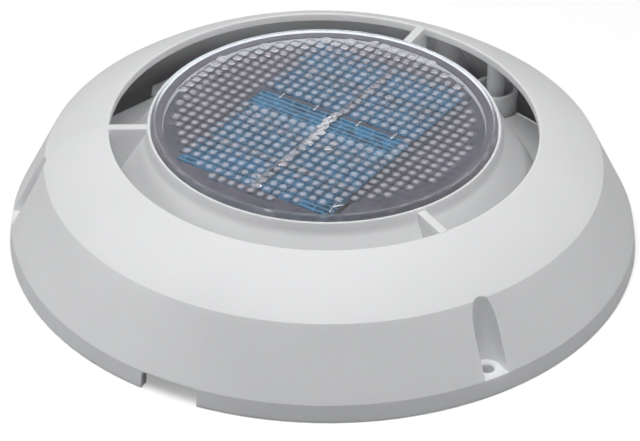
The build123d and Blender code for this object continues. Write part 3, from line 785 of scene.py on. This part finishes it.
def cell_straps():
    """Short tinned straps, two from each cell to the next, in low arches.

    Each is a strip carried along half a sine wave.
    """
    rows, columns = STRAP_POINTS
    s, t = np.meshgrid(np.linspace(0, 1, rows), np.linspace(-0.5, 0.5, columns), indexing="ij")
    points = []
    faces = []
    for row in range(ROWS - 1):
        for side in (-0.5, 0.5):
            for off in (-STRAP_OFF, STRAP_OFF):
                up = (row - (ROWS - 2) / 2) * ROW_PITCH + (s - 0.5) * STRAP_L
                along = side * COLUMN_PITCH + off + t * STRAP_W
                level = CELL_TOP + STRAP_LIFT + STRAP_RISE * np.sin(np.pi * s)
                faces.append(grid_quads(rows, columns, start=s.size * len(points)))
                points.append(panel_point(up, along, level).reshape(-1, 3))
    quads = np.vstack(faces).tolist()
    straps = make_piece("cell_straps", np.vstack(points), quads, TINNED, "tinned_ribbon")
    return thicken(straps, RIBBON_T, 1.0)


def painted_shade_strip():
    """A black strip along the ends of the cells, painted shade for the dark gap there: a low pillow carried
    up the rows.

    Its height is a flat-topped bow across the width, the fourth power of the
    share from the middle.
    """
    reach = ROW_PITCH * (ROWS - 1) + CELL_W
    rows, columns = SHADE_STRIP_POINTS
    s, t = np.meshgrid(np.linspace(-0.5, 0.5, rows), np.linspace(-1, 1, columns), indexing="ij")
    wander = SHADE_STRIP_SWAY * np.sin(s * SHADE_STRIP_WAVES)
    level = BOARD_TOP + SHADE_STRIP_T + (CELL_TOP - BOARD_TOP) * (1 - t**4)
    points = panel_point(s * reach, SHADE_STRIP_ALONG + wander + t * SHADE_STRIP_W / 2, level).reshape(-1, 3)
    shade_strip_piece = make_piece("painted_shade_strip", points, grid_quads(rows, columns).tolist(), DARK_GAP_SHADE, "black_plastic")
    return thicken(shade_strip_piece, SHADE_STRIP_T, -1.0)


def wire(name, start, end):
    """A bare wire from the fork to an end: a ring carried along a shallow arch."""
    turns = np.linspace(0, 2 * np.pi, WIRE_SIDES + 1)[:-1]
    s, turn = np.meshgrid(np.linspace(0, 1, WIRE_STEPS), turns, indexing="ij")
    run = (np.array(end) - np.array(start)) * MM
    side = np.array([-run[1], run[0]]) / np.linalg.norm(run)
    up = start[0] * MM + run[0] * s + side[0] * WIRE_R * np.cos(turn)
    along = start[1] * MM + run[1] * s + side[1] * WIRE_R * np.cos(turn)
    level = CELL_TOP + WIRE_R * (1 + np.sin(turn)) + WIRE_ARCH * np.sin(np.pi * s)
    points = panel_point(up, along, level).reshape(-1, 3)
    number = np.arange(s.size).reshape(s.shape)
    beside = np.roll(number, -1, axis=1)
    quads = np.stack([number[:-1], beside[:-1], beside[1:], number[1:]], -1).reshape(-1, 4).tolist()
    caps = [number[0, ::-1].tolist(), number[-1].tolist()]
    return make_piece(name, points, quads + caps, TINNED, "tinned_ribbon")


def set_camera():
    """The photograph's camera: its place, its roll, its lens and its centre."""
    height = math.radians(CAMERA_HEIGHT_DEG)
    turn = math.radians(CAMERA_TURN_DEG)
    back = Vector((math.cos(height) * math.cos(turn), math.cos(height) * math.sin(turn), math.sin(height)))
    level = Vector((-math.sin(turn), math.cos(turn), 0))
    upright = back.cross(level)
    right = level * math.cos(CAMERA_ROLL) + upright * math.sin(CAMERA_ROLL)
    up = back.cross(right)
    camera = bpy.data.objects.new("camera", bpy.data.cameras.new("camera"))
    place = Matrix((right, up, back)).transposed().to_4x4()
    place.translation = back * CAMERA_DISTANCE
    camera.matrix_world = place
    camera.data.sensor_width = SENSOR_MM
    camera.data.lens = FOCAL_PX / PHOTO_W * SENSOR_MM
    camera.data.shift_x = (PHOTO_W / 2 - CENTRE_PX[0]) / PHOTO_W
    camera.data.shift_y = (CENTRE_PX[1] - PHOTO_H / 2) / PHOTO_W
    bpy.context.scene.collection.objects.link(camera)
    bpy.context.scene.camera = camera


def lamp(name, direction, distance, size, brightness):
    """A square studio lamp aimed at the vent, as bright on a white card as given."""
    light = bpy.data.lights.new(name, "AREA")
    light.size = size
    light.energy = brightness * math.pi**2 * distance**2
    made = bpy.data.objects.new(name, light)
    way = Vector(direction).normalized()
    made.location = way * distance
    made.rotation_mode = "QUATERNION"
    made.rotation_quaternion = way.to_track_quat("Z", "Y")
    bpy.context.scene.collection.objects.link(made)
    return made


def seen_share(tree):
    """One for rays from the camera, from gloss and through glass, and else nought."""
    ray = add(tree, "LightPath")
    first = add(
        tree,
        "Math",
        {0: ray.outputs["Is Camera Ray"], 1: ray.outputs["Is Glossy Ray"]},
        operation="MAXIMUM",
    )
    both = add(
        tree, "Math", {0: first.outputs[0], 1: ray.outputs["Is Transmission Ray"]}, operation="MAXIMUM"
    )
    return both.outputs[0]


def set_world():
    """White behind the vent, and a weak even light from all round."""
    world = bpy.data.worlds.new("studio")
    bpy.context.scene.world = world
    world.use_nodes = True
    tree = world.node_tree
    tree.nodes.clear()
    shown = add(tree, "Background", {"Color": (1, 1, 1, 1), "Strength": 1.0})
    light = add(tree, "Background", {"Color": linear(AMBIENT_COLOUR), "Strength": AMBIENT})
    both = add(tree, "MixShader", {0: seen_share(tree), 1: light.outputs[0], 2: shown.outputs[0]})
    add(tree, "OutputWorld", {"Surface": both.outputs[0]})


def set_floor():
    """A pale floor that keeps the vent's shadow and throws little light back."""
    corners = FLOOR_REACH * np.array([(-1, -1), (1, -1), (1, 1), (-1, 1)])
    points = np.column_stack([corners, np.full(len(corners), FLOOR_LEVEL)])
    mesh = bpy.data.meshes.new("floor")
    mesh.from_pydata(points.tolist(), [], [(0, 1, 2, 3)])
    made, tree, _ = new_material("matt_paper_floor")
    tone = add(
        tree,
        "Mix",
        {0: seen_share(tree), 6: linear(FLOOR_BOUNCE), 7: linear(FLOOR_SHOWN)},
        data_type="RGBA",
    )
    base = add(
        tree,
        "BsdfPrincipled",
        {"Base Color": tone.outputs[2], "Roughness": PAPER_ROUGH, "Specular IOR Level": 0.0},
    )
    ray = add(tree, "LightPath")
    lift = add(tree, "Math", {0: ray.outputs["Is Camera Ray"], 1: FLOOR_LIFT}, operation="MULTIPLY")
    glow = add(tree, "Emission", {"Color": (1, 1, 1, 1), "Strength": lift.outputs[0]})
    both = add(tree, "AddShader", {0: base.outputs[0], 1: glow.outputs[0]})
    mesh.materials.append(finish_material(made, tree, both.outputs[0]))
    floor = bpy.data.objects.new("floor", mesh)
    bpy.context.scene.collection.objects.link(floor)


bpy.context.scene.view_settings.view_transform = "Standard"
for node_name, finish in FINISHES.items():
    dress(nodes[node_name], finish)
bumped_lens()
crumpled_strip()
cell_straps()
# A black strip of painted shade along the cells' ends
painted_shade_strip()
for wire_number, wire_end in enumerate(WIRE_ENDS):
    wire(f"bare_wire_{wire_number + 1}", WIRE_FORK, wire_end)
set_camera()
set_world()
set_floor()
for lamp_values in LAMPS:
    lamp(*lamp_values)
